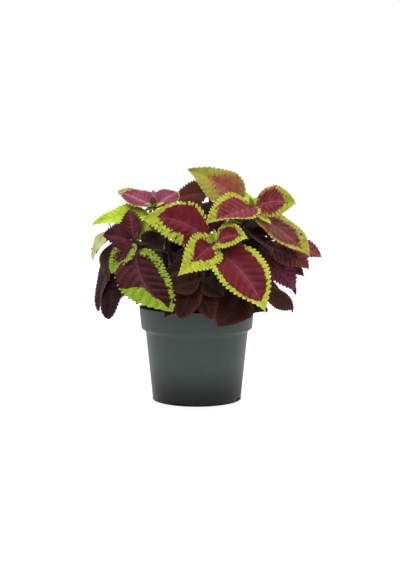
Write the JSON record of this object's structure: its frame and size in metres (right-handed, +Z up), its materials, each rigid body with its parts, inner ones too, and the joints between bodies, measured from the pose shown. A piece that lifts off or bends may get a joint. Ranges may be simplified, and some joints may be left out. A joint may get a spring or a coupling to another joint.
{
  "type": "potted coleus plant",
  "caption": "Bushy coleus with toothed crimson, maroon and lime leaves on square stems, growing in moist potting mix in a round tapered plastic nursery pot with a deep collar and drain slots",
  "frame": {"origin": "middle of the pot's underside, on the surface that it stands on", "axes": "+Z up along the pot's axis, -Y towards the plant's best side, +X to the right as seen from there"},
  "size_m": [0.2643, 0.2194, 0.2626],
  "materials": {
    "pot_plastic": "satin",
    "potting_mix": "matte",
    "foliage_crimson": "satin",
    "foliage_maroon": "satin",
    "foliage_lime": "satin"
  },
  "bodies": {
    "root": {"nursery_pot": "pot_plastic", "potting_mix": "potting_mix", "front_shoot": "foliage_crimson", "low_front_shoot": "foliage_maroon", "low_right_shoot": "foliage_maroon", "left_shoot": "foliage_maroon", "back_left_top_shoot": "foliage_crimson", "low_left_shoot": "foliage_maroon", "right_top_shoot": "foliage_lime", "right_shoot": "foliage_crimson", "back_top_shoot": "foliage_crimson", "back_left_shoot": "foliage_crimson", "back_right_shoot": "foliage_crimson", "low_back_shoot": "foliage_maroon", "low_back_left_shoot": "foliage_maroon", "low_back_right_shoot": "foliage_maroon"}
  },
  "joints": []
}
